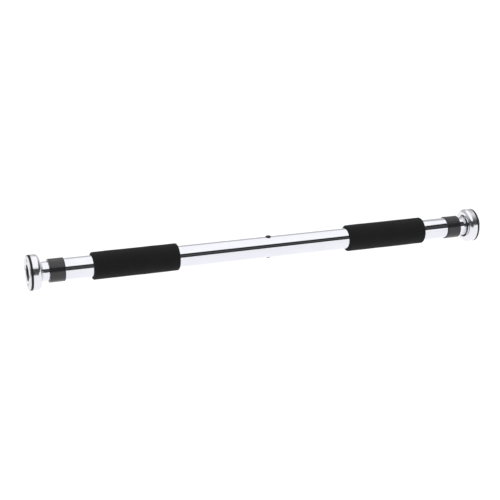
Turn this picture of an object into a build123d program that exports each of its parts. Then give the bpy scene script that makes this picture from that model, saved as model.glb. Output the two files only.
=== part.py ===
from build123d import *
import os

# Doorway pull up bar, a turnbuckle in a tube. The bar lies along X with its middle at the origin and Z up.
# The outer tube carries the grips, the collars and the lead screw. Turning it drives an inner tube out of
# each end, because one end of the screw has a left-hand thread and the other a right-hand thread.
# Each inner tube ends in a rubber-faced foot. The foot goes through the hole of a cup, which is pressed over
# a plate screwed to the door jamb.
# Sizes are in millimetres, and x is the distance from the middle of the bar unless a comment says otherwise.

# Outer tube and inner tubes
tube_outer_r = 16.0
tube_wall = 1.5
tube_end = 327.6
telescope_gap = 0.3
inner_wall = 2.0

# Collars, at the mouths of the outer tube, and the guide rings in them
collar_wall = 1.33
collar_length = 23.0
collar_lip = 1.4
collar_edge_round = 0.9
guide_length = 2.4

# Foam grips
grip_wall = 4.48
grip_length = 129.7
grip_edge_round = 2.0
grip_to_collar = 41.4

# Lead screw, its boss, its pin and its end stops
screw_r = 8.0
screw_spigot_r = 5.0
screw_tip = 1.0
boss_half_length = 25.0
boss_edge_round = 0.8
pin_r = 2.5
pin_x = 7.5
pin_head_rim = 1.7
pin_head_height = 2.0
pin_tail_rim = 0.5
pin_tail_height = 1.1
stop_washer_thickness = 2.0
stop_nut_flats = 13.0
stop_nut_thickness = 6.0

# Travelling nuts, fixed in the inner ends of the inner tubes, and how far they go
nut_to_boss = 11.2
nut_flange = 4.0
nut_length = 30.0
cross_pin_r = 1.5
travel_out = 100.0

# End plugs and feet
neck_gap = 9.6
neck_ring_step = 0.9
neck_ring_length = 2.5
neck_ring_round = 0.8
plug_spigot_length = 24.0
stem_step = 4.6
stem_length = 6.3
foot_plate_thickness = 3.0
foot_edge_round = 0.6
foot_screw_r = 3.0
foot_screw_head_r = 5.6
foot_screw_depth = 12.0
foot_screw_socket_flats = 4.0
foot_screw_socket_depth = 2.0

# Cups, each with its gasket and base plate
cup_face_width = 8.8
cup_depth = 13.0
cup_wall = 2.75
cup_face = 3.0
cup_round = 6.0
cup_lip_round = 0.7
groove_depth = 2.0
groove_inset = 0.8
groove_angle = 68.0
gasket_inset = 0.3
gasket_thickness = 3.3
gasket_round = 0.5
base_inset = 1.0
base_thickness = 1.2
base_rim_wall = 1.2
base_seat_width = 2.4
jamb_hole_r = 2.25
jamb_hole_count = 4

# Clearances
glue_gap = 0.02
press_gap = 0.02
slide_gap = 0.05
thread_gap = 0.05
running_gap = 0.08
lip_gap = 0.4
end_gap = 0.1
pad_gap = 0.2
neck_stop_gap = 0.4
stop_gap = 0.5
stop_washer_gap = 0.6
cup_hole_gap = 2.3
foot_gap = 2.9
base_rim_gap = 1.3
screw_head_gap = 1.9

# Radii worked out from the sizes above
tube_bore_r = tube_outer_r - tube_wall
inner_outer_r = tube_bore_r - telescope_gap
inner_bore_r = inner_outer_r - inner_wall
collar_bore_r = tube_outer_r + glue_gap
collar_outer_r = collar_bore_r + collar_wall
nut_bore_r = screw_r + thread_gap
cross_pin_foot_r = (nut_bore_r + inner_bore_r) / 2
neck_ring_r = inner_outer_r + neck_ring_step
stem_r = neck_ring_r - stem_step
cup_hole_r = neck_ring_r + cup_hole_gap
foot_r = cup_hole_r - foot_gap
cup_r = cup_hole_r + cup_face_width
cup_bore_r = cup_r - cup_wall
cup_inner_round = max(cup_round - cup_face, cup_lip_round)
base_rim_r = cup_bore_r - press_gap
base_rim_bore_r = base_rim_r - base_rim_wall
base_hole_r = foot_r - base_seat_width
jamb_hole_circle_r = (foot_r + base_rim_bore_r) / 2

# Positions along the bar, worked out from the sizes above
lip_start = tube_end + guide_length + 2 * end_gap
collar_end = lip_start + collar_lip
collar_start = collar_end - collar_length
ring_start = collar_end + neck_gap
ring_end = ring_start + neck_ring_length
foot_start = ring_end + stem_length
pad_start = foot_start + foot_plate_thickness
cup_start = ring_end
cup_end = cup_start + cup_depth
base_start = cup_end + gasket_thickness
base_rim_start = cup_start + cup_face + cup_inner_round + base_rim_gap
jamb_face = base_start + base_thickness
pad_end = base_start - pad_gap
travel_in = neck_gap - neck_stop_gap
nut_start = boss_half_length + travel_in + nut_to_boss
nut_end = nut_start + nut_length
stop_start = nut_end + travel_out + stop_gap
stop_nut_start = stop_start + stop_washer_thickness
stop_nut_end = stop_nut_start + stop_nut_thickness
screw_end = stop_nut_end + screw_tip
nut_pin_x = (nut_start + nut_flange + nut_end) / 2
plug_pin_x = ring_start - plug_spigot_length / 2


def turned(outline, rounds=()):
    """A solid turned about the bar's axis. outline lists (x, radius); rounds lists (x, radius, round)."""
    face = Polygon(*outline, align=None)
    for x, radius, size in rounds:
        corner = face.vertices().sort_by_distance((x, radius))[0]
        face = fillet(corner, size)
    return revolve(face, axis=Axis.X, revolution_arc=360)


def tube(start, end, outer_r, bore_r, edge_round=0.0):
    """A plain round tube along the bar, with its two outer edges rounded if asked."""
    outline = [(start, bore_r), (end, bore_r), (end, outer_r), (start, outer_r)]
    rounds = [(start, outer_r, edge_round), (end, outer_r, edge_round)] if edge_round else ()
    return turned(outline, rounds)


def rod(start, end, radius):
    """A plain round bar along X."""
    return Pos((start + end) / 2, 0, 0) * Rot(0, 90, 0) * Cylinder(radius, end - start)


def hexagon(start, end, flats):
    """A hexagonal bar along X, given by the distance across its flats."""
    section = RegularPolygon(flats / 2, 6, major_radius=False)
    return Pos(start, 0, 0) * Rot(0, 90, 0) * extrude(section, end - start)


def across(radius, length, x=0.0, z=0.0):
    """An upright round bar through the axis, for pins and the holes that they go in."""
    return Pos(x, 0, z) * Cylinder(radius, length)


def cross_pins(x, radius=cross_pin_r, shortfall=end_gap):
    """Two short upright pins, above and below the axis, that lock a nut or a plug in the inner tube."""
    middle = (inner_outer_r + cross_pin_foot_r) / 2
    length = inner_outer_r - cross_pin_foot_r - 2 * shortfall
    return [across(radius, length, x, side * middle) for side in (1, -1)]


def cut_pin_holes(part, x):
    """Cuts the two holes that the cross pins at x go in."""
    for hole in cross_pins(x, cross_pin_r + press_gap, 0):
        part -= hole
    return part


# Pieces in the middle of the bar

def pin_hole():
    return across(pin_r + press_gap, 3 * tube_outer_r, pin_x)


def outer_tube():
    return tube(-tube_end, tube_end, tube_outer_r, tube_bore_r) - pin_hole()


def centre_boss():
    outer_r = tube_bore_r - glue_gap
    bore_r = screw_r + press_gap
    return tube(-boss_half_length, boss_half_length, outer_r, bore_r, boss_edge_round) - pin_hole()


def lead_screw():
    thread = rod(-stop_start, stop_start, screw_r)
    spigots = rod(-screw_end, screw_end, screw_spigot_r)
    return thread + spigots - pin_hole()


def centre_pin():
    """The pin that locks tube, boss and screw together: a domed head on top, a peened tail below."""
    shank = across(pin_r, 2 * tube_outer_r, pin_x)
    head_r = pin_r + pin_head_rim
    head_ball_r = (head_r ** 2 + pin_head_height ** 2) / (2 * pin_head_height)
    head = Pos(pin_x, 0, tube_outer_r + pin_head_height - head_ball_r) * Sphere(head_ball_r)
    head &= across(head_r, pin_head_height, pin_x, tube_outer_r + pin_head_height / 2)
    tail = across(pin_r + pin_tail_rim, pin_tail_height, pin_x, -tube_outer_r - pin_tail_height / 2)
    tail = fillet(tail.edges().sort_by(Axis.Z)[0], 0.6 * pin_tail_height)
    return shank + head + tail


# Pieces of one end, modelled for the right and turned about Z for the left

def collar():
    """The black plastic sleeve that covers the tube's mouth and keeps the guide ring in."""
    lip_r = inner_outer_r + lip_gap
    outline = [
        (collar_start, collar_bore_r),
        (lip_start, collar_bore_r),
        (lip_start, lip_r),
        (collar_end, lip_r),
        (collar_end, collar_outer_r),
        (collar_start, collar_outer_r),
    ]
    rounds = [
        (collar_start, collar_outer_r, collar_edge_round),
        (collar_end, collar_outer_r, collar_edge_round),
    ]
    return turned(outline, rounds)


def guide_ring():
    return tube(
        tube_end + end_gap,
        lip_start - end_gap,
        collar_bore_r - running_gap,
        inner_outer_r + slide_gap,
    )


def grip():
    bore_r = tube_outer_r + glue_gap
    end = collar_start - grip_to_collar
    return tube(end - grip_length, end, bore_r + grip_wall, bore_r, grip_edge_round)


def stop_washer():
    return tube(stop_start, stop_nut_start, inner_bore_r - stop_washer_gap, screw_spigot_r + press_gap)


def stop_nut():
    hole = rod(stop_nut_start, stop_nut_end, screw_spigot_r + press_gap)
    return hexagon(stop_nut_start, stop_nut_end, stop_nut_flats) - hole


def inner_tube():
    part = tube(nut_start + nut_flange, ring_start, inner_outer_r, inner_bore_r)
    part = cut_pin_holes(part, nut_pin_x)
    return cut_pin_holes(part, plug_pin_x)


def travel_nut():
    """The nylon nut: a flange against the tube's inner end and a body inside it."""
    body_r = inner_bore_r - press_gap
    outline = [
        (nut_start, nut_bore_r),
        (nut_end, nut_bore_r),
        (nut_end, body_r),
        (nut_start + nut_flange, body_r),
        (nut_start + nut_flange, inner_outer_r),
        (nut_start, inner_outer_r),
    ]
    return cut_pin_holes(turned(outline), nut_pin_x)


def end_plug():
    """The turned plug in the tube's outer end: a spigot inside, the neck ring and the foot's stem."""
    spigot_start = ring_start - plug_spigot_length
    spigot_r = inner_bore_r - press_gap
    screw_hole_r = foot_screw_r + press_gap
    outline = [
        (spigot_start, 0),
        (foot_start - foot_screw_depth, 0),
        (foot_start - foot_screw_depth, screw_hole_r),
        (foot_start, screw_hole_r),
        (foot_start, stem_r),
        (ring_end, stem_r),
        (ring_end, neck_ring_r),
        (ring_start, neck_ring_r),
        (ring_start, spigot_r),
        (spigot_start, spigot_r),
    ]
    rounds = [(ring_start, neck_ring_r, neck_ring_round), (ring_end, neck_ring_r, neck_ring_round)]
    return cut_pin_holes(turned(outline, rounds), plug_pin_x)


def foot_plate():
    hole_r = foot_screw_r + press_gap
    outline = [
        (foot_start, hole_r),
        (pad_start, foot_screw_head_r + press_gap),
        (pad_start, foot_r),
        (foot_start, foot_r),
    ]
    return turned(outline, [(foot_start, foot_r, foot_edge_round)])


def foot_screw():
    tip = foot_start - foot_screw_depth + stop_gap
    outline = [
        (tip, 0),
        (tip, foot_screw_r),
        (foot_start, foot_screw_r),
        (pad_start, foot_screw_head_r),
        (pad_start, 0),
    ]
    socket = hexagon(pad_start - foot_screw_socket_depth, pad_start, foot_screw_socket_flats)
    return turned(outline) - socket


def foot_pad():
    return tube(pad_start, pad_end, foot_r, foot_screw_head_r + screw_head_gap)


def cup_shell(groove_turn):
    """The chrome cup: a round dish with a hole for the neck and a shallow groove from the hole to the rim."""
    face_bore_x = cup_start + cup_face
    outline = [
        (cup_start, cup_hole_r),
        (cup_start, cup_r),
        (cup_end, cup_r),
        (cup_end, cup_bore_r),
        (face_bore_x, cup_bore_r),
        (face_bore_x, cup_hole_r),
    ]
    rounds = [
        (cup_start, cup_r, cup_round),
        (face_bore_x, cup_bore_r, cup_inner_round),
        (cup_start, cup_hole_r, cup_lip_round),
    ]
    groove_width = 2 * (cup_hole_r - groove_inset)
    groove = Pos(cup_start + groove_depth / 2, 0, cup_r) * Box(groove_depth, groove_width, 2 * cup_r)
    return turned(outline, rounds) - Rot(groove_turn, 0, 0) * groove


def cup_gasket():
    return tube(cup_end, base_start, cup_r - gasket_inset, cup_bore_r, gasket_round)


def base_plate():
    """The plate against the jamb: a rim that the cup is pressed over, and the screw holes."""
    outline = [
        (base_start, base_hole_r),
        (jamb_face, base_hole_r),
        (jamb_face, cup_r - base_inset),
        (base_start, cup_r - base_inset),
        (base_start, base_rim_r),
        (base_rim_start, base_rim_r),
        (base_rim_start, base_rim_bore_r),
        (base_start, base_rim_bore_r),
    ]
    part = turned(outline)
    hole = Pos(0, 0, jamb_hole_circle_r) * rod(base_start, jamb_face, jamb_hole_r)
    for index in range(jamb_hole_count):
        part -= Rot(index * 360 / jamb_hole_count, 0, 0) * hole
    return part


def end_pieces(groove_turn):
    """Every node of one end, by name, in the right-hand position."""
    return {
        "collar": collar(),
        "guide_ring": guide_ring(),
        "grip": grip(),
        "stop_washer": stop_washer(),
        "stop_nut": stop_nut(),
        "inner_tube": inner_tube(),
        "travel_nut": travel_nut(),
        "nut_pins": Compound(children=cross_pins(nut_pin_x)),
        "end_plug": end_plug(),
        "plug_pins": Compound(children=cross_pins(plug_pin_x)),
        "foot_plate": foot_plate(),
        "foot_screw": foot_screw(),
        "foot_pad": foot_pad(),
        "cup_shell": cup_shell(groove_turn),
        "cup_gasket": cup_gasket(),
        "base_plate": base_plate(),
    }


pieces = {
    "outer_tube": outer_tube(),
    "centre_boss": centre_boss(),
    "lead_screw": lead_screw(),
    "centre_pin": centre_pin(),
}
for name, piece in end_pieces(-groove_angle).items():
    pieces["right_" + name] = piece
for name, piece in end_pieces(groove_angle).items():
    pieces["left_" + name] = Rot(0, 0, 180) * piece

os.makedirs("parts", exist_ok=True)
for name, piece in pieces.items():
    export_step(piece, f"parts/{name}.step")
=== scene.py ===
"""The looks of a doorway pull up bar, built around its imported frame.

The bar lies along X with its middle at the origin and Z up. A chrome tube carries two foam grips and two
black collars. Out of each collar comes a chrome neck, whose foot stands in a chrome cup on the door jamb.
Every new piece is a surface worked out on a grid of two parameters: a place along a section, and an angle
around an axis. Lengths are in metres, and sizes given in millimetres are multiplied by MM.
"""

import logging
import math
from collections.abc import Callable, Sequence
from dataclasses import dataclass
from enum import Enum

import bpy
import numpy as np
from mathutils import Matrix, Vector


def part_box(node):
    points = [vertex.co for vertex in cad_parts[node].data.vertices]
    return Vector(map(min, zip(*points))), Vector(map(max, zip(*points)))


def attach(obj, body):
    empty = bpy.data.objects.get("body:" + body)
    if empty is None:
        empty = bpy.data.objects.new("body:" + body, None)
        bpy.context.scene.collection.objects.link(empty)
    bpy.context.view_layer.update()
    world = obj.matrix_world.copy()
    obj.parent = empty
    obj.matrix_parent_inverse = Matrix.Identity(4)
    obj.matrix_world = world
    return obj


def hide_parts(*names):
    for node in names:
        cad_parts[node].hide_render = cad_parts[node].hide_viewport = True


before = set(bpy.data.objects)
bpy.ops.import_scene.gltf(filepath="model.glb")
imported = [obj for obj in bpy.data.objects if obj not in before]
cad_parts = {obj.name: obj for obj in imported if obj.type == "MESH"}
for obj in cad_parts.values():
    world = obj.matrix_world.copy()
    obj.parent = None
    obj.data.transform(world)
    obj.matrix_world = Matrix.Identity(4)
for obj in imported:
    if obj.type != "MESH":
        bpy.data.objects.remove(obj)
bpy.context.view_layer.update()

MM = 0.001
TURN = 2 * math.pi
log = logging.getLogger("pull_up_bar")

Socket = bpy.types.NodeSocket
Relief = Callable[[np.ndarray, np.ndarray, np.ndarray], np.ndarray]


class Side(Enum):
    """An end of the bar. The value is the word that its nodes and bodies start with."""

    LEFT = "left"
    RIGHT = "right"

    @property
    def sign(self) -> int:
        """The way from the middle of the bar to this end, along X."""
        return 1 if self is Side.RIGHT else -1

    def name(self, piece: str) -> str:
        """The name of one of this end's nodes, bodies or pieces."""
        return f"{self.value}_{piece}"


class Axis(Enum):
    """The axis that a piece is turned about."""

    ALONG = "along the bar"
    UPRIGHT = "upright"


class Slot(Enum):
    """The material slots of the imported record."""

    CHROME = "chrome"
    ZINC = "zinc"
    STEEL = "steel"
    FOAM = "foam"
    RUBBER = "rubber"
    PLASTIC = "black_plastic"
    NYLON = "nylon"


# ---------------------------------------------------------------------------------------------------------
# Surfaces
# ---------------------------------------------------------------------------------------------------------


@dataclass(frozen=True)
class Corner:
    """A corner of a section: its place along the axis, its radius, and how far it is rounded, in metres."""

    x: float
    r: float
    rounding: float = 0.0


def section(corners: Sequence[Corner], closed: bool = True, arc_steps: int = 8) -> np.ndarray:
    """Works out the points of a section from its corners.

    A rounded corner becomes an arc that touches both sides: for a corner angle b and a rounding g, the arc
    starts g / tan(b / 2) before the corner, and its centre lies g / sin(b / 2) from it on the bisector.
    Straight stretches get a point close to each end, so that smooth shading stays on the arcs.

    Args:
        corners: The corners in order.
        closed: Whether the last corner joins the first.
        arc_steps: The number of steps in each arc.

    Returns:
        An array of (x, radius) rows.
    """
    points = np.array([(c.x, c.r) for c in corners])
    rounds = np.array([c.rounding for c in corners])
    before = np.roll(points, 1, axis=0) - points
    after = np.roll(points, -1, axis=0) - points
    before /= np.linalg.norm(before, axis=1, keepdims=True)
    after /= np.linalg.norm(after, axis=1, keepdims=True)
    half = np.arccos(np.clip((before * after).sum(1), -1, 1)) / 2
    reach = rounds / np.tan(half)
    stretches = []
    for i, rounding in enumerate(rounds):
        is_end = not closed and i in (0, len(points) - 1)
        if rounding == 0 or is_end:
            stretches.append(points[i : i + 1])
            continue
        bisector = before[i] + after[i]
        centre = points[i] + bisector / np.linalg.norm(bisector) * rounding / math.sin(half[i])
        start = points[i] + before[i] * reach[i] - centre
        end = points[i] + after[i] * reach[i] - centre
        sweep = math.pi - 2 * half[i]
        s = np.linspace(0, 1, arc_steps + 1)[:, None]
        arc = (np.sin((1 - s) * sweep) * start + np.sin(s * sweep) * end) / math.sin(sweep)
        stretches.append(centre + arc)
    joined = []
    count = len(stretches)
    for i in range(count if closed else count - 1):
        first, second = stretches[i][-1], stretches[(i + 1) % count][0]
        length = np.linalg.norm(second - first)
        edge = min(0.3, 0.25 * MM / max(length, 1e-9))
        shares = np.array([edge, 1 - edge])[:, None]
        joined += [stretches[i], first + shares * (second - first)]
    if not closed:
        joined.append(stretches[-1])
    return np.concatenate(joined)


def put_mesh(name: str, points: np.ndarray, faces: np.ndarray, sharp: float) -> bpy.types.Object:
    """Makes an object from points and faces, with its faces pointing outwards.

    The signed volume, a sixth of the sum of each triangle's triple product, says which way they point.

    Args:
        name: The object's name.
        points: An array of (x, y, z) rows.
        faces: Rows of four indices, where a repeated last index marks a triangle.
        sharp: The angle in degrees past which an edge is drawn sharp.

    Returns:
        The new object, at the origin.
    """
    a, b, c, d = (points[faces[:, k]] for k in range(4))
    volume = (np.cross(a, b) * c).sum() + (np.cross(a, c) * d).sum()
    if volume < 0:
        faces = np.where((faces[:, 2:3] == faces[:, 3:4]), faces[:, [1, 0, 2, 2]], faces[:, ::-1])
    is_triangle = faces[:, 2] == faces[:, 3]
    sizes = np.where(is_triangle, 3, 4)
    keep = np.ones(faces.shape, bool)
    keep[is_triangle, 3] = False
    corners = faces[keep]
    mesh = bpy.data.meshes.new(name)
    mesh.vertices.add(len(points))
    mesh.vertices.foreach_set("co", points.astype(np.float32).ravel())
    mesh.loops.add(len(corners))
    mesh.loops.foreach_set("vertex_index", corners.astype(np.int32))
    mesh.polygons.add(len(faces))
    mesh.polygons.foreach_set("loop_start", (np.cumsum(sizes) - sizes).astype(np.int32))
    mesh.update(calc_edges=True)
    mesh.validate()
    mesh.shade_smooth()
    mesh.set_sharp_from_angle(angle=math.radians(sharp))
    piece = bpy.data.objects.new(name, mesh)
    bpy.context.scene.collection.objects.link(piece)
    return piece


def turned(
    name: str,
    outline: np.ndarray,
    steps: int = 128,
    axis: Axis = Axis.ALONG,
    relief: Relief | None = None,
    sharp: float = 40.0,
) -> bpy.types.Object:
    """Turns a section about an axis.

    A point at (x, r) in the section and at angle a goes to x along the axis and to r cos a and r sin a
    across it. A relief adds to r a length that may depend on x, r and a. A section whose two ends lie on
    the axis is open there and each end is one shared point. Any other section is a closed loop.

    Args:
        name: The new object's name.
        outline: The section, rows of (x, radius).
        steps: The number of steps around.
        axis: The axis that the section turns about.
        relief: A function of x, r and the angle that gives the length added to r.
        sharp: The angle in degrees past which an edge is drawn sharp.

    Returns:
        The new object.
    """
    gaps = np.linalg.norm(outline - np.roll(outline, 1, axis=0), axis=1)
    outline = outline[gaps > 1e-8]
    has_poles = outline[0, 1] < 1e-9 and outline[-1, 1] < 1e-9
    rows = outline[1:-1] if has_poles else outline
    angle = np.arange(steps) * TURN / steps
    x, around = np.meshgrid(rows[:, 0], angle, indexing="ij")
    radius = np.repeat(rows[:, 1:2], steps, axis=1)
    if relief is not None:
        radius = radius + relief(x, radius, around)
    parts = (x, radius * np.cos(around), radius * np.sin(around))
    if axis is Axis.UPRIGHT:
        parts = (parts[1], parts[2], parts[0])
    points = np.stack(parts, axis=-1).reshape(-1, 3)
    index = np.arange(len(rows) * steps).reshape(len(rows), steps)
    if has_poles:
        here, there = index[:-1], index[1:]
    else:
        here, there = index, np.roll(index, -1, axis=0)
    quads = np.stack((here, there, np.roll(there, -1, axis=1), np.roll(here, -1, axis=1)), axis=-1)
    faces = quads.reshape(-1, 4)
    if has_poles:
        ends = np.zeros((2, 3))
        ends[:, 2 if axis is Axis.UPRIGHT else 0] = outline[[0, -1], 0]
        first, last = len(points), len(points) + 1
        points = np.concatenate((points, ends))
        start, finish = index[0], index[-1]
        fan_in = np.stack((np.roll(start, -1), np.full(steps, first), start, start), axis=-1)
        fan_out = np.stack((finish, np.full(steps, last), np.roll(finish, -1), np.roll(finish, -1)), axis=-1)
        faces = np.concatenate((faces, fan_in, fan_out))
    return put_mesh(name, points, faces, sharp)


def put_on(piece: bpy.types.Object, body: str, node: str, slot: Slot, finish: "Finish") -> None:
    """Puts a new piece on its body in place of a CAD node, and dresses it.

    Args:
        piece: The new piece.
        body: The body that it rides on.
        node: The CAD node that it stands for.
        slot: The record's material slot.
        finish: The finish that it is dressed in.
    """
    piece.data.materials.append(finish.material())
    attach(piece, body)
    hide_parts(node)
    log.info("%s stands for %s on %s, in %s", piece.name, node, body, slot.value)


def dress(node: str, finish: "Finish") -> None:
    """Gives a CAD node that stays its finish.

    Args:
        node: The CAD node's name.
        finish: The finish that it is dressed in.
    """
    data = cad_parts[node].data
    data.materials.clear()
    data.materials.append(finish.material())
    log.info("%s stays, in %s", node, type(finish).__name__)


# ---------------------------------------------------------------------------------------------------------
# Finishes
# ---------------------------------------------------------------------------------------------------------


class Graph:
    """A node tree that is filled a node at a time."""

    def __init__(self, tree: bpy.types.NodeTree) -> None:
        """Empties the tree."""
        self.tree = tree
        tree.nodes.clear()

    def add(
        self, kind: str, inputs: dict[str | int, object] | None = None, **settings: object
    ) -> bpy.types.Node:
        """Adds a node.

        Args:
            kind: The node's type, without the word ShaderNode.
            inputs: For each input socket, by name or number, a value or the output that it takes.
            settings: The node's own settings.

        Returns:
            The new node.
        """
        node = self.tree.nodes.new("ShaderNode" + kind)
        for key, value in settings.items():
            setattr(node, key, value)
        for key, value in (inputs or {}).items():
            if isinstance(value, Socket):
                self.tree.links.new(value, node.inputs[key])
            else:
                node.inputs[key].default_value = value
        return node

    def math(self, operation: str, *values: object) -> Socket:
        """Adds a Math node and gives its result."""
        return self.add("Math", dict(enumerate(values)), operation=operation).outputs[0]

    def ramp(self, value: object, low: object, high: object, start: float = 0.0, end: float = 1.0) -> Socket:
        """Adds a smooth step of value, from start at low to end at high, and gives its result."""
        inputs = {0: value, 1: low, 2: high, 3: start, 4: end}
        return self.add("MapRange", inputs, interpolation_type="SMOOTHSTEP").outputs[0]

    def step(self, value: Socket, threshold: Socket, softness: float) -> Socket:
        """Adds a smooth step of value from 0 to 1 around a threshold that varies, and gives its result."""
        return self.ramp(self.math("SUBTRACT", value, threshold), -softness, softness)

    def blend(self, share: object, first: object, second: object) -> Socket:
        """Adds a mix of two colours and gives its result."""
        node = self.add("Mix", {0: share, 6: first, 7: second}, data_type="RGBA")
        return node.outputs[2]

    def place(self, stretch: tuple[float, float, float] = (1, 1, 1)) -> Socket:
        """Adds the piece's own coordinates, stretched, and gives them."""
        own = self.add("TexCoord").outputs["Object"]
        return self.add("Mapping", {"Vector": own, "Scale": stretch}).outputs[0]

    def noise(self, place: Socket, scale: float, detail: float = 2.0, roughness: float = 0.5) -> Socket:
        """Adds a noise from 0 to 1 and gives its value."""
        inputs = {"Vector": place, "Scale": scale, "Detail": detail, "Roughness": roughness}
        return self.add("TexNoise", inputs).outputs[0]

    def bump(self, height: Socket, depth: float, under: Socket | None = None) -> Socket:
        """Adds a bump of the given depth in metres, over another one if asked, and gives its normal."""
        inputs = {"Strength": 1.0, "Distance": depth, "Height": height}
        if under is not None:
            inputs["Normal"] = under
        return self.add("Bump", inputs).outputs[0]


@dataclass(frozen=True)
class Finish:
    """A surface finish. Each finish makes its material once."""

    label: str
    colour: tuple[float, float, float]
    roughness: float

    def material(self) -> bpy.types.Material:
        """The finish's material, made the first time that it is asked for."""
        made = bpy.data.materials.get(self.label)
        if made is None:
            made = bpy.data.materials.new(self.label)
            made.use_nodes = True
            graph = Graph(made.node_tree)
            shader = self.shader(graph)
            graph.add("OutputMaterial", {"Surface": shader.outputs[0]})
        return made

    def shader(self, graph: Graph) -> bpy.types.Node:
        """Builds the shader in the graph and gives it."""
        raise NotImplementedError

    def rgba(self, share: float = 1.0) -> tuple[float, float, float, float]:
        """The finish's colour, darkened or lightened by a share."""
        return (*(share * part for part in self.colour), 1.0)


@dataclass(frozen=True)
class Chrome(Finish):
    """Polished chrome plate: faint patches of haze, and fine rubbing marks along or around the piece."""

    marks: tuple[float, float, float] = (20.0, 900.0, 900.0)
    haze: float = 0.03

    def shader(self, graph: Graph) -> bpy.types.Node:
        """Builds the chrome shader."""
        patches = graph.noise(graph.place((6, 14, 14)), 6.0, 4.0)
        rubbing = graph.noise(graph.place(self.marks), 1.0, 3.0, 0.6)
        rough = graph.math("MULTIPLY_ADD", rubbing, self.haze, self.roughness)
        colour = graph.blend(graph.ramp(patches, 0.35, 0.7), self.rgba(0.97), self.rgba())
        normal = graph.bump(rubbing, 0.0000015)
        inputs = {"Base Color": colour, "Metallic": 1.0, "Roughness": rough, "Normal": normal}
        return graph.add("BsdfPrincipled", inputs)


@dataclass(frozen=True)
class TurnedSteel(Finish):
    """Machined steel: the tool's marks run around the piece, under a thin film of oil."""

    marks: tuple[float, float, float] = (4000.0, 30.0, 30.0)

    def shader(self, graph: Graph) -> bpy.types.Node:
        """Builds the turned steel shader."""
        lines = graph.noise(graph.place(self.marks), 1.0, 3.0, 0.7)
        oil = graph.noise(graph.place(), 90.0, 3.0)
        rough = graph.math("MULTIPLY_ADD", lines, 0.2, self.roughness)
        colour = graph.blend(graph.ramp(oil, 0.3, 0.75), self.rgba(0.8), self.rgba())
        inputs = {
            "Base Color": colour,
            "Metallic": 1.0,
            "Roughness": rough,
            "Normal": graph.bump(lines, 0.00001),
        }
        return graph.add("BsdfPrincipled", inputs)


@dataclass(frozen=True)
class ZincPlate(Finish):
    """Bright zinc plate: a fine crystal spangle under a slight cloudiness."""

    def shader(self, graph: Graph) -> bpy.types.Node:
        """Builds the zinc plate shader."""
        cells = {"Vector": graph.place(), "Scale": 420.0}
        spangle = graph.add("TexVoronoi", cells).outputs["Color"]
        grey = graph.add("RGBToBW", {0: spangle}).outputs[0]
        cloud = graph.noise(graph.place(), 60.0, 4.0)
        rough = graph.math("MULTIPLY_ADD", cloud, 0.14, self.roughness)
        colour = graph.blend(graph.ramp(grey, 0.2, 0.8), self.rgba(0.9), self.rgba())
        normal = graph.bump(cloud, 0.00003)
        inputs = {"Base Color": colour, "Metallic": 1.0, "Roughness": rough, "Normal": normal}
        return graph.add("BsdfPrincipled", inputs)


@dataclass(frozen=True)
class GripFoam(Finish):
    """Closed-cell foam: a matte skin with fine open pores, painted shade in the pores' pits, and a slightly
    uneven black.
    """

    pore: float = 0.0009

    def shader(self, graph: Graph) -> bpy.types.Node:
        """Builds the foam shader."""
        place = graph.place()
        cells = {"Vector": place, "Scale": 1 / self.pore, "Randomness": 1.0}
        distance = graph.add("TexVoronoi", cells, feature="F1").outputs["Distance"]
        wide = graph.noise(place, 38.0, 4.0, 0.6)
        grain = graph.noise(place, 1600.0, 3.0, 0.7)
        pores = graph.ramp(distance, 0.1, 0.45)
        skin = graph.bump(wide, 0.0004)
        normal = graph.bump(graph.math("MULTIPLY_ADD", grain, 0.5, pores), 0.00022, skin)
        patches = graph.ramp(wide, 0.3, 0.7, 0.75, 1.0)
        # Painted shade: each pore's pit is darkened to 0.6 of the colour, on top of the slightly uneven black
        # of the patches.
        uneven_black_and_painted_pore_shade = graph.math("MULTIPLY", patches, graph.ramp(pores, 0, 1, 0.6, 1.0))
        colour = graph.blend(uneven_black_and_painted_pore_shade, self.rgba(0.4), self.rgba())
        inputs = {
            "Base Color": colour,
            "Roughness": graph.ramp(grain, 0.2, 0.8, self.roughness - 0.08, self.roughness + 0.05),
            "Normal": normal,
            "Specular IOR Level": 0.2,
            "Sheen Weight": 0.05,
            "Sheen Roughness": 0.6,
            "Sheen Tint": (0.5, 0.5, 0.52, 1.0),
        }
        return graph.add("BsdfPrincipled", inputs)


@dataclass(frozen=True)
class MouldedRubber(Finish):
    """Moulded rubber: matte, with a dusty bloom and a fine grain."""

    def shader(self, graph: Graph) -> bpy.types.Node:
        """Builds the rubber shader."""
        place = graph.place()
        bloom = graph.noise(place, 70.0, 4.0, 0.65)
        grain = graph.noise(place, 2500.0, 2.0)
        colour = graph.blend(graph.ramp(bloom, 0.35, 0.8), self.rgba(), self.rgba(2.2))
        inputs = {
            "Base Color": colour,
            "Roughness": graph.ramp(bloom, 0.3, 0.8, self.roughness, self.roughness + 0.12),
            "Normal": graph.bump(grain, 0.00004),
        }
        return graph.add("BsdfPrincipled", inputs)


@dataclass(frozen=True)
class SatinPlastic(Finish):
    """Moulded plastic with a satin skin: a spark-eroded grain and faint handling wear."""

    grain_scale: float = 3200.0
    grain_depth: float = 0.00003

    def shader(self, graph: Graph) -> bpy.types.Node:
        """Builds the plastic shader."""
        place = graph.place()
        grain = graph.noise(place, self.grain_scale, 2.0, 0.6)
        wear = graph.noise(graph.place((1, 2.5, 2.5)), 55.0, 4.0, 0.6)
        colour = graph.blend(graph.ramp(wear, 0.35, 0.8), self.rgba(), self.rgba(1.35))
        inputs = {
            "Base Color": colour,
            "Roughness": graph.ramp(wear, 0.3, 0.8, self.roughness, self.roughness - 0.08),
            "Normal": graph.bump(grain, self.grain_depth),
            "Specular IOR Level": 0.6,
        }
        return graph.add("BsdfPrincipled", inputs)


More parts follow.
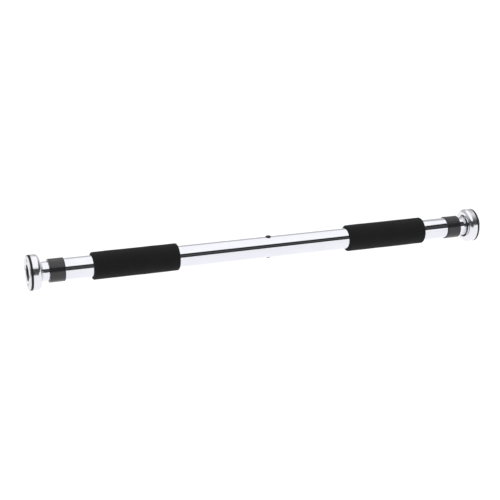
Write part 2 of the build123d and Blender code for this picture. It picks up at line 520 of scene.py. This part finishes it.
@dataclass(frozen=True)
class FloorPaint(Finish):
    """The studio's pale floor, with the faintest mottling."""

    def shader(self, graph: Graph) -> bpy.types.Node:
        """Builds the floor shader."""
        mottle = graph.noise(graph.place(), 1.5, 3.0)
        colour = graph.blend(mottle, self.rgba(0.985), self.rgba())
        return graph.add("BsdfPrincipled", {"Base Color": colour, "Roughness": self.roughness})


CHROME_TUBE = Chrome("chrome_polished_along", (0.79, 0.79, 0.845), 0.035)
CHROME_NECK = Chrome("chrome_polished_around", (0.79, 0.79, 0.84), 0.06, (2500.0, 40.0, 40.0))
CHROME_CUP = Chrome("chrome_pressed_cup", (0.79, 0.79, 0.83), 0.15, (30.0, 30.0, 30.0), 0.06)
STEEL = TurnedSteel("turned_steel", (0.45, 0.45, 0.46), 0.28)
BLACKENED = TurnedSteel("blackened_steel", (0.06, 0.06, 0.062), 0.3)
ZINC = ZincPlate("bright_zinc_plate", (0.74, 0.74, 0.76), 0.24)
FOAM = GripFoam("grip_foam", (0.006, 0.006, 0.0065), 0.85)
RUBBER = MouldedRubber("moulded_rubber", (0.004, 0.004, 0.0045), 0.55)
PLASTIC = SatinPlastic("satin_black_plastic", (0.012, 0.012, 0.014), 0.24)
NYLON = SatinPlastic("natural_nylon", (0.78, 0.76, 0.7), 0.42, 900.0, 0.00002)
FLOOR = FloorPaint("pale_floor_paint", (0.86, 0.86, 0.865), 0.7)


# ---------------------------------------------------------------------------------------------------------
# The bar
# ---------------------------------------------------------------------------------------------------------


def reach(node: str) -> tuple[float, float]:
    """How near and how far from the middle of the bar a node lies, along X."""
    low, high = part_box(node)
    near, far = sorted((abs(low.x), abs(high.x)))
    return (0.0, far) if low.x < 0 < high.x else (near, far)


def radius(node: str) -> float:
    """A turned node's outer radius."""
    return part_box(node)[1].y


@dataclass(frozen=True)
class Thread:
    """A screw thread of trapezoidal shape, right-handed on the right half and left-handed on the left.

    The surface is r = crest - depth f(s), where s is the share of a turn by which the point is ahead of the
    helix: s = x / lead - side a / (2 pi), and f rises from 0 on the crest to 1 in the root between flanks.
    """

    lead: float = 4 * MM
    depth: float = 1.9 * MM
    flat: float = 0.36
    flank: float = 0.14

    def drop(self, x: np.ndarray, around: np.ndarray, sign: int) -> np.ndarray:
        """How far the thread's surface lies below its crest.

        Args:
            x: Places along the bar.
            around: Angles about the bar's axis.
            sign: 1 on the right half of the bar and -1 on the left.

        Returns:
            The drop at each point, in metres.
        """
        share = (x / self.lead - sign * around / TURN) % 1.0
        from_crest = np.abs(share - 0.5) - self.flat / 2
        return self.depth * np.clip(from_crest / self.flank, 0, 1)


THREAD = Thread()


@dataclass
class ChromeTube:
    """The long outer tube. Its two mouths are deburred."""

    wall: float = 1.5 * MM
    edge: float = 0.35 * MM
    steps: int = 192

    def build(self) -> None:
        """Turns the tube's wall."""
        outer = radius("outer_tube")
        end = reach("outer_tube")[1]
        corners = [
            Corner(-end, outer, self.edge),
            Corner(end, outer, self.edge),
            Corner(end, outer - self.wall, self.edge),
            Corner(-end, outer - self.wall, self.edge),
        ]
        tube = turned("chrome_tube", section(corners), self.steps)
        put_on(tube, "bar", "outer_tube", Slot.CHROME, CHROME_TUBE)


@dataclass
class CentrePin:
    """The blackened pin through the middle of the bar: a low dome on top and a peened tail below."""

    shank: float = 2.5 * MM
    tail: float = 3.0 * MM
    tail_height: float = 1.1 * MM
    tail_edge: float = 0.5 * MM
    head_height: float = 2.0 * MM
    head_rim: float = 0.35 * MM
    dome_steps: int = 10
    steps: int = 64

    def build(self) -> None:
        """Turns the pin about the upright axis.

        The dome is half an ellipse above the head's rim: r = head cos t, z = rim + height sin t.
        """
        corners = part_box("centre_pin")
        low, high = (corner.z for corner in corners)
        place = sum(corner.x for corner in corners) / 2
        head = radius("centre_pin")
        seat = high - self.head_height
        stem = [
            Corner(low, 0.0),
            Corner(low, self.tail, self.tail_edge),
            Corner(low + self.tail_height, self.tail),
            Corner(low + self.tail_height, self.shank),
            Corner(seat, self.shank),
            Corner(seat, head),
            Corner(seat + self.head_rim, head),
        ]
        t = np.linspace(0, TURN / 4, self.dome_steps + 1)[1:, None]
        rise = self.head_height - self.head_rim
        dome = np.hstack((seat + self.head_rim + rise * np.sin(t), head * np.cos(t)))
        dome[-1, 1] = 0.0
        outline = np.concatenate((section(stem, closed=False), dome))
        pin = turned("blackened_pin", outline, self.steps, Axis.UPRIGHT, sharp=55.0)
        pin.data.transform(Matrix.Translation((place, 0, 0)))
        put_on(pin, "bar", "centre_pin", Slot.STEEL, BLACKENED)


@dataclass
class LeadScrew:
    """The screw inside the bar: left-hand thread on the left half, right-hand thread on the right half."""

    crest: float = 8 * MM
    spigot: float = 5 * MM
    edge: float = 0.6 * MM
    plain: float = 27 * MM
    fade: float = 3 * MM
    row: float = 0.3 * MM
    steps: int = 48

    def shape(self, x: np.ndarray, r: np.ndarray, around: np.ndarray) -> np.ndarray:
        """Cuts the thread between the plain middle and the spigots, fading in and out over a few turns."""
        shoulder = reach("left_stop_washer")[0]
        from_middle = (np.abs(x) - self.plain) / self.fade
        from_shoulder = (shoulder - self.row - np.abs(x)) / self.fade
        share = np.clip(np.minimum(from_middle, from_shoulder), 0, 1)
        threaded = np.where(r > self.crest - self.row, share, 0)
        sign = np.where(x < 0, -1, 1)
        return -threaded * THREAD.drop(x, around, sign)

    def build(self) -> None:
        """Turns the screw, with rows close enough together to carry the thread."""
        end = reach("lead_screw")[1]
        shoulder = reach("left_stop_washer")[0]
        rows = np.arange(-shoulder, shoulder, self.row)
        middle = np.column_stack((rows, np.full(len(rows), self.crest)))
        tip = [Corner(end, 0), Corner(end, self.spigot, self.edge), Corner(shoulder, self.spigot)]
        finish = section(tip, closed=False)[::-1]
        start = finish[::-1] * (-1, 1)
        outline = np.concatenate((start, middle, finish))
        screw = turned("threaded_screw", outline, self.steps, relief=self.shape)
        put_on(screw, "bar", "lead_screw", Slot.STEEL, STEEL)


@dataclass
class FoamGrip:
    """One foam grip: a thick sleeve with soft ends and a slightly uneven skin."""

    side: Side
    glue_gap: float = 0.02 * MM
    edge: float = 2.0 * MM
    mouth_edge: float = 0.7 * MM
    unevenness: float = 0.12 * MM

    def skin(self, x: np.ndarray, r: np.ndarray, around: np.ndarray) -> np.ndarray:
        """Lowers the outer skin by up to twice the unevenness, in slow waves along and around it.

        The wave is the mean of three sines whose lengths along the grip don't repeat together.
        """
        along = x / (10 * MM)
        waves = np.sin(1.1 * along + 2 * around) + np.sin(0.63 * along - 3 * around + 1.3)
        waves += np.sin(1.9 * along + around + 2.1)
        bore = radius("outer_tube") + self.glue_gap
        on_skin = np.clip((r - bore) / (2 * MM), 0, 1)
        return on_skin * self.unevenness * (waves / 3 - 1)

    def build(self) -> None:
        """Turns the sleeve, with rows close enough together to carry the waves."""
        node = self.side.name("grip")
        near, far = (self.side.sign * end for end in reach(node))
        outer, bore = radius(node), radius("outer_tube") + self.glue_gap
        rows = 60
        outside = [Corner(near, outer, self.edge)]
        outside += [Corner(x, outer) for x in np.linspace(near, far, rows)[1:-1]]
        outside += [Corner(far, outer, self.edge)]
        corners = outside + [Corner(far, bore, self.mouth_edge), Corner(near, bore, self.mouth_edge)]
        grip = turned(self.side.name("foam_grip"), section(corners), 128, relief=self.skin)
        put_on(grip, "bar", node, Slot.FOAM, FOAM)


@dataclass
class PlasticCollar:
    """One collar: a sleeve over the tube's mouth, with a rolled edge and a fine groove at each end."""

    side: Side
    bore_gap: float = 0.02 * MM
    lip: float = 1.4 * MM
    lip_gap: float = 0.4 * MM
    edge: float = 0.8 * MM
    mouth_edge: float = 0.3 * MM
    groove_from_end: float = 1.3 * MM
    groove_width: float = 0.5 * MM
    groove_depth: float = 0.35 * MM

    def grooved(self, start: float, outer: float, way: int) -> list[Corner]:
        """The corners of one end's groove, met on the way in from that end.

        Args:
            start: The place of the end.
            outer: The sleeve's radius.
            way: 1 if the sleeve goes on towards +X from this end, else -1.

        Returns:
            Four corners, from the end inwards.
        """
        first = start + way * self.groove_from_end
        last = first + way * self.groove_width
        floor = outer - self.groove_depth
        return [Corner(first, outer), Corner(first, floor), Corner(last, floor), Corner(last, outer)]

    def build(self) -> None:
        """Turns the sleeve with its inner lip and its two grooves."""
        node = self.side.name("collar")
        sign = self.side.sign
        near, far = reach(node)
        bore = radius("outer_tube") + self.bore_gap
        lip_bore = radius(self.side.name("inner_tube")) + self.lip_gap
        outer = radius(node)
        corners = [
            Corner(sign * near, bore, self.mouth_edge),
            Corner(sign * (far - self.lip), bore),
            Corner(sign * (far - self.lip), lip_bore),
            Corner(sign * far, lip_bore, self.mouth_edge),
            Corner(sign * far, outer, self.edge),
            *self.grooved(sign * far, outer, -sign),
            *reversed(self.grooved(sign * near, outer, sign)),
            Corner(sign * near, outer, self.edge),
        ]
        collar = turned(self.side.name("plastic_collar"), section(corners))
        put_on(collar, "bar", node, Slot.PLASTIC, PLASTIC)


@dataclass
class InnerTube:
    """The chrome tube that slides out of one end, with both of its mouths deburred, and its nylon guide."""

    side: Side
    wall: float = 2.0 * MM
    edge: float = 0.3 * MM
    guide_edge: float = 0.25 * MM
    slide_gap: float = 0.05 * MM

    def ring(self, node: str, bore: float, edge: float) -> np.ndarray:
        """The section of a plain ring that fills a node's length and radius, with its edges rounded."""
        near, far = (self.side.sign * end for end in reach(node))
        outer = radius(node)
        places = ((near, outer), (far, outer), (far, bore), (near, bore))
        return section([Corner(x, r, edge) for x, r in places])

    def build(self) -> None:
        """Turns the tube and the guide ring that it slides in."""
        node, guide = self.side.name("inner_tube"), self.side.name("guide_ring")
        outline = self.ring(node, radius(node) - self.wall, self.edge)
        tube = turned(self.side.name("chrome_neck_tube"), outline, 160)
        put_on(tube, self.side.name("extension"), node, Slot.CHROME, CHROME_NECK)
        outline = self.ring(guide, radius(node) + self.slide_gap, self.guide_edge)
        ring = turned(self.side.name("nylon_guide"), outline, 96)
        put_on(ring, self.side.name("guide"), guide, Slot.NYLON, NYLON)


@dataclass
class TravelNut:
    """The nylon nut in the inner tube's inner end, threaded on its bore to run on the lead screw."""

    side: Side
    bore: float = 8.05 * MM
    flange: float = 4.0 * MM
    press_gap: float = 0.02 * MM
    edge: float = 0.4 * MM
    row: float = 0.3 * MM
    steps: int = 64

    def thread(self, x: np.ndarray, r: np.ndarray, around: np.ndarray) -> np.ndarray:
        """Brings the bore in to the thread's surface, and fades the thread over the last turn at each end."""
        near, far = reach(self.side.name("travel_nut"))
        inside = np.minimum(np.abs(x) - near, far - np.abs(x)) / THREAD.lead
        on_bore = np.where(r < self.bore + self.edge, np.clip(inside, 0, 1), 0)
        return -on_bore * THREAD.drop(x, around, self.side.sign)

    def build(self) -> None:
        """Turns the nut: a flange against the tube's end, a body inside the tube, and the threaded bore."""
        node = self.side.name("travel_nut")
        near, far = reach(node)
        sign, outer = self.side.sign, radius(node)
        body = outer - InnerTube(self.side).wall - self.press_gap
        places = np.arange(far - self.edge, near + self.edge, -self.row)
        corners = [
            Corner(sign * near, self.bore, self.edge),
            Corner(sign * near, outer, self.edge),
            Corner(sign * (near + self.flange), outer, self.edge),
            Corner(sign * (near + self.flange), body),
            Corner(sign * far, body, self.edge),
            Corner(sign * far, self.bore, self.edge),
        ]
        bore = np.column_stack((sign * places, np.full(len(places), self.bore)))
        outline = np.concatenate((section(corners, closed=False), bore))
        nut = turned(self.side.name("nylon_nut"), outline, self.steps, relief=self.thread)
        put_on(nut, self.side.name("extension"), node, Slot.NYLON, NYLON)


@dataclass
class StopNut:
    """The hexagonal nut that holds the end stop on the lead screw, chamfered on both faces."""

    side: Side
    flats: float = 13 * MM
    bore: float = 5.02 * MM
    chamfer_run: float = 0.55
    rows: int = 12

    @property
    def tip(self) -> float:
        """The radius of the circle through the nut's corners."""
        return self.flats / 2 / math.cos(TURN / 12)

    def hexagon(self, x: np.ndarray, r: np.ndarray, around: np.ndarray) -> np.ndarray:
        """Draws the outer wall in from the corners' circle to the flats and the chamfers' cones.

        A flat is r = (flats / 2) / cos(a - m), where m is the middle of the flat nearest to the angle a. A
        chamfer is a cone that starts level with the flats and rises by 1 for each run of 0.55 along it. The
        end faces are drawn in by the same share at every radius, so that no face folds up.
        """
        near, far = reach(self.side.name("stop_nut"))
        sector = TURN / 6
        across = (around - TURN / 12 + sector / 2) % sector - sector / 2
        flat = self.flats / 2 / np.cos(across)
        depth = np.minimum(np.abs(x) - near, far - np.abs(x))
        cone = self.flats / 2 + depth / self.chamfer_run
        share = (r - self.bore) / (self.tip - self.bore)
        return share * (np.minimum(flat, np.minimum(cone, self.tip)) - self.tip)

    def build(self) -> None:
        """Turns the nut and cuts its flats."""
        node = self.side.name("stop_nut")
        near, far = (self.side.sign * end for end in reach(node))
        wall = [Corner(x, self.tip) for x in np.linspace(near, far, self.rows + 1)]
        corners = [Corner(near, self.bore), *wall, Corner(far, self.bore)]
        nut = turned(self.side.name("hex_stop_nut"), section(corners), 144, relief=self.hexagon, sharp=25.0)
        put_on(nut, "bar", node, Slot.STEEL, STEEL)


@dataclass
class EndPlug:
    """The turned plug in the inner tube's outer end: a spigot, the neck ring, and the foot's stem."""

    side: Side
    spigot_gap: float = 0.02 * MM
    stem: float = 10.5 * MM
    ring_edge: float = 0.8 * MM
    fillet: float = 0.5 * MM
    hole: float = 3.02 * MM
    hole_depth: float = 12 * MM

    def build(self) -> None:
        """Turns the plug, with the hole that the foot's screw goes in."""
        node, tube = self.side.name("end_plug"), self.side.name("inner_tube")
        sign = self.side.sign
        near, far = reach(node)
        ring_start, ring_end = reach(tube)[1], reach(self.side.name("cup_shell"))[0]
        spigot = radius(tube) - InnerTube(self.side).wall - self.spigot_gap
        ring = radius(node)
        corners = [
            Corner(sign * near, 0),
            Corner(sign * near, spigot, self.fillet),
            Corner(sign * ring_start, spigot),
            Corner(sign * ring_start, ring, self.ring_edge),
            Corner(sign * ring_end, ring, self.ring_edge),
            Corner(sign * ring_end, self.stem, self.fillet),
            Corner(sign * far, self.stem),
            Corner(sign * far, self.hole),
            Corner(sign * (far - self.hole_depth), self.hole),
            Corner(sign * (far - self.hole_depth), 0),
        ]
        plug = turned(self.side.name("neck_plug"), section(corners, closed=False), 160)
        put_on(plug, self.side.name("extension"), node, Slot.CHROME, CHROME_NECK)


@dataclass
class FootPad:
    """The rubber pad that presses on the jamb plate, with round ridges on its face for grip."""

    side: Side
    bore: float = 7.5 * MM
    edge: float = 0.8 * MM
    margin: float = 1.2 * MM
    ridge_depth: float = 0.4 * MM
    ridges: int = 4
    wave_steps: int = 12

    def build(self) -> None:
        """Turns the pad. Across its face, the ridges are x = far - depth (1 - cos(2 pi n s)) / 2."""
        node = self.side.name("foot_pad")
        near, far = reach(node)
        outer = radius(node)
        share = np.linspace(0, 1, self.ridges * self.wave_steps + 1)
        across = outer - self.margin - share * (outer - self.bore - 2 * self.margin)
        dip = self.ridge_depth * (1 - np.cos(TURN * self.ridges * share)) / 2
        face = np.column_stack((far - dip, across))
        back = [Corner(far, self.bore), Corner(near, self.bore), Corner(near, outer, self.edge)]
        rim = section([*back, Corner(far, outer, self.edge), Corner(far, outer - self.margin)], closed=False)
        outline = np.concatenate((rim, face))
        outline[:, 0] *= self.side.sign
        pad = turned(self.side.name("ridged_pad"), outline, 128)
        put_on(pad, self.side.name("extension"), node, Slot.RUBBER, RUBBER)


@dataclass
class CupGasket:
    """The rubber ring behind the cup, with a shallow groove round its rim between two rounded beads."""

    side: Side
    cup_wall: float = 2.75 * MM
    edge: float = 0.6 * MM
    soft: float = 0.2 * MM
    groove_half: float = 0.45 * MM
    groove_depth: float = 0.35 * MM

    def build(self) -> None:
        """Turns the ring."""
        node = self.side.name("cup_gasket")
        near, far = reach(node)
        outer = radius(node)
        middle, floor = (near + far) / 2, outer - self.groove_depth
        bore = radius(self.side.name("cup_shell")) - self.cup_wall
        corners = [
            Corner(near, bore, self.soft),
            Corner(near, outer, self.edge),
            Corner(middle - self.groove_half, outer, self.soft),
            Corner(middle, floor, self.soft),
            Corner(middle + self.groove_half, outer, self.soft),
            Corner(far, outer, self.edge),
            Corner(far, bore, self.soft),
        ]
        outline = section(corners)
        outline[:, 0] *= self.side.sign
        ring = turned(self.side.name("rubber_ring"), outline, 192)
        put_on(ring, self.side.name("cup"), node, Slot.RUBBER, RUBBER)


# ---------------------------------------------------------------------------------------------------------
# The studio
# ---------------------------------------------------------------------------------------------------------


@dataclass
class Camera:
    """The camera, given by where it looks and from what side."""

    azimuth: float = -20.14
    elevation: float = 17.39
    distance: float = 1.9
    lens: float = 89.97
    sensor: float = 36.0
    sight: float = 200.0
    aim: tuple[float, float, float] = (-0.022, 0.0, -0.002)

    def build(self) -> None:
        """Makes the camera and hands it to the scene."""
        a, e = math.radians(self.azimuth), math.radians(self.elevation)
        back = Vector((math.sin(a) * math.cos(e), -math.cos(a) * math.cos(e), math.sin(e)))
        data = bpy.data.cameras.new("studio_camera")
        data.lens = self.lens
        data.sensor_width = self.sensor
        data.clip_end = self.sight
        camera = bpy.data.objects.new("studio_camera", data)
        camera.location = Vector(self.aim) + self.distance * back
        camera.rotation_euler = back.to_track_quat("Z", "Y").to_euler()
        bpy.context.scene.collection.objects.link(camera)
        bpy.context.scene.camera = camera


@dataclass
class Studio:
    """A white studio: a pale floor far below the bar, a bright ceiling, and a dark gap between the two.

    The gap is the unlit side of the room, which polished metal shows as a thin dark line. Its heart is a
    little lighter than its edges, and it is paler behind the bar. The camera itself sees white in its place.
    """

    drop: float = 1.1
    floor_size: float = 120.0
    ceiling: float = 1.2
    edge_tone: float = 0.012
    inner_tone: float = 0.075
    back_tone: float = 0.6
    gap_foot: float = -0.19
    foot_slope: float = 0.75
    foot_limit: float = 0.2
    gap_top: float = 0.64
    top_slope: float = 2.2
    top_bend: float = 0.4
    softness: float = 0.03
    edge_width: float = 0.16
    back_from: float = -0.2
    back_to: float = 0.4
    sun_strength: float = 1.9
    sun_angle: float = 120.0
    sun_tilt: tuple[float, float] = (20.0, -15.0)

    def build_floor(self) -> None:
        """Lays the floor."""
        half = self.floor_size / 2
        points = np.array([(-half, -half), (half, -half), (half, half), (-half, half)])
        points = np.column_stack((points, np.full(4, -self.drop)))
        mesh = bpy.data.meshes.new("floor")
        mesh.from_pydata(points.tolist(), [], [(0, 1, 2, 3)])
        mesh.materials.append(FLOOR.material())
        floor = bpy.data.objects.new("floor", mesh)
        bpy.context.scene.collection.objects.link(floor)

    def between(self, graph: Graph, z: Socket, foot: Socket, top: Socket, inset: float) -> Socket:
        """Adds a soft mask that is 1 between two heights, each moved inwards, and gives it."""
        low = graph.math("ADD", foot, inset)
        high = graph.math("SUBTRACT", top, inset)
        above = graph.step(z, low, self.softness)
        below = graph.step(high, z, self.softness)
        return graph.math("MULTIPLY", above, below)

    def build_room(self) -> None:
        """Paints the room's light by direction: its height and its sideways part place the dark gap."""
        world = bpy.data.worlds.new("studio_room")
        world.use_nodes = True
        graph = Graph(world.node_tree)
        direction = graph.add("TexCoord").outputs["Generated"]
        x, y, z = graph.add("SeparateXYZ", {0: direction}).outputs
        slant = graph.math("MULTIPLY_ADD", x, self.foot_slope, self.gap_foot)
        foot = graph.math("MINIMUM", slant, self.foot_limit)
        past_bend = graph.math("MAXIMUM", graph.math("SUBTRACT", x, self.top_bend), 0.0)
        top = graph.math("MULTIPLY_ADD", past_bend, self.top_slope, self.gap_top)
        gap = self.between(graph, z, foot, top, 0.0)
        heart = self.between(graph, z, foot, top, self.edge_width)
        tone = graph.ramp(heart, 0.0, 1.0, self.edge_tone, self.inner_tone)
        back = graph.ramp(y, self.back_from, self.back_to)
        tone = graph.math("MULTIPLY_ADD", back, graph.math("SUBTRACT", self.back_tone, tone), tone)
        dark = graph.add("CombineColor", {0: tone, 1: tone, 2: tone}).outputs[0]
        bright = (self.ceiling, self.ceiling, self.ceiling, 1.0)
        seen = graph.blend(gap, bright, dark)
        camera = graph.add("LightPath").outputs["Is Camera Ray"]
        light = graph.add("Background", {0: graph.blend(camera, seen, bright), 1: 1.0})
        graph.add("OutputWorld", {0: light.outputs[0]})
        bpy.context.scene.world = world

    def build_light(self) -> None:
        """Hangs one very wide soft light, which lights the floor and isn't seen in the chrome."""
        data = bpy.data.lights.new("soft_overhead", "SUN")
        data.energy = self.sun_strength
        data.angle = math.radians(self.sun_angle)
        light = bpy.data.objects.new("soft_overhead", data)
        light.rotation_euler = (*map(math.radians, self.sun_tilt), 0)
        light.visible_glossy = False
        bpy.context.scene.collection.objects.link(light)

    def build(self) -> None:
        """Builds the whole studio and sets plain tones."""
        self.build_floor()
        self.build_room()
        self.build_light()
        bpy.context.scene.view_settings.view_transform = "Standard"


def main() -> None:
    """Builds the studio and every piece in order."""
    logging.basicConfig(level=logging.INFO, format="%(name)s: %(message)s")
    Camera().build()
    Studio().build()
    ChromeTube().build()
    CentrePin().build()
    LeadScrew().build()
    dress("centre_boss", STEEL)
    for side in Side:
        for piece in (FoamGrip, PlasticCollar, InnerTube, TravelNut, StopNut, EndPlug, FootPad, CupGasket):
            piece(side).build()
        for name in ("stop_washer", "nut_pins", "plug_pins", "foot_plate", "foot_screw"):
            dress(side.name(name), STEEL)
        dress(side.name("cup_shell"), CHROME_CUP)
        dress(side.name("base_plate"), ZINC)


if __name__ == "__main__":
    main()
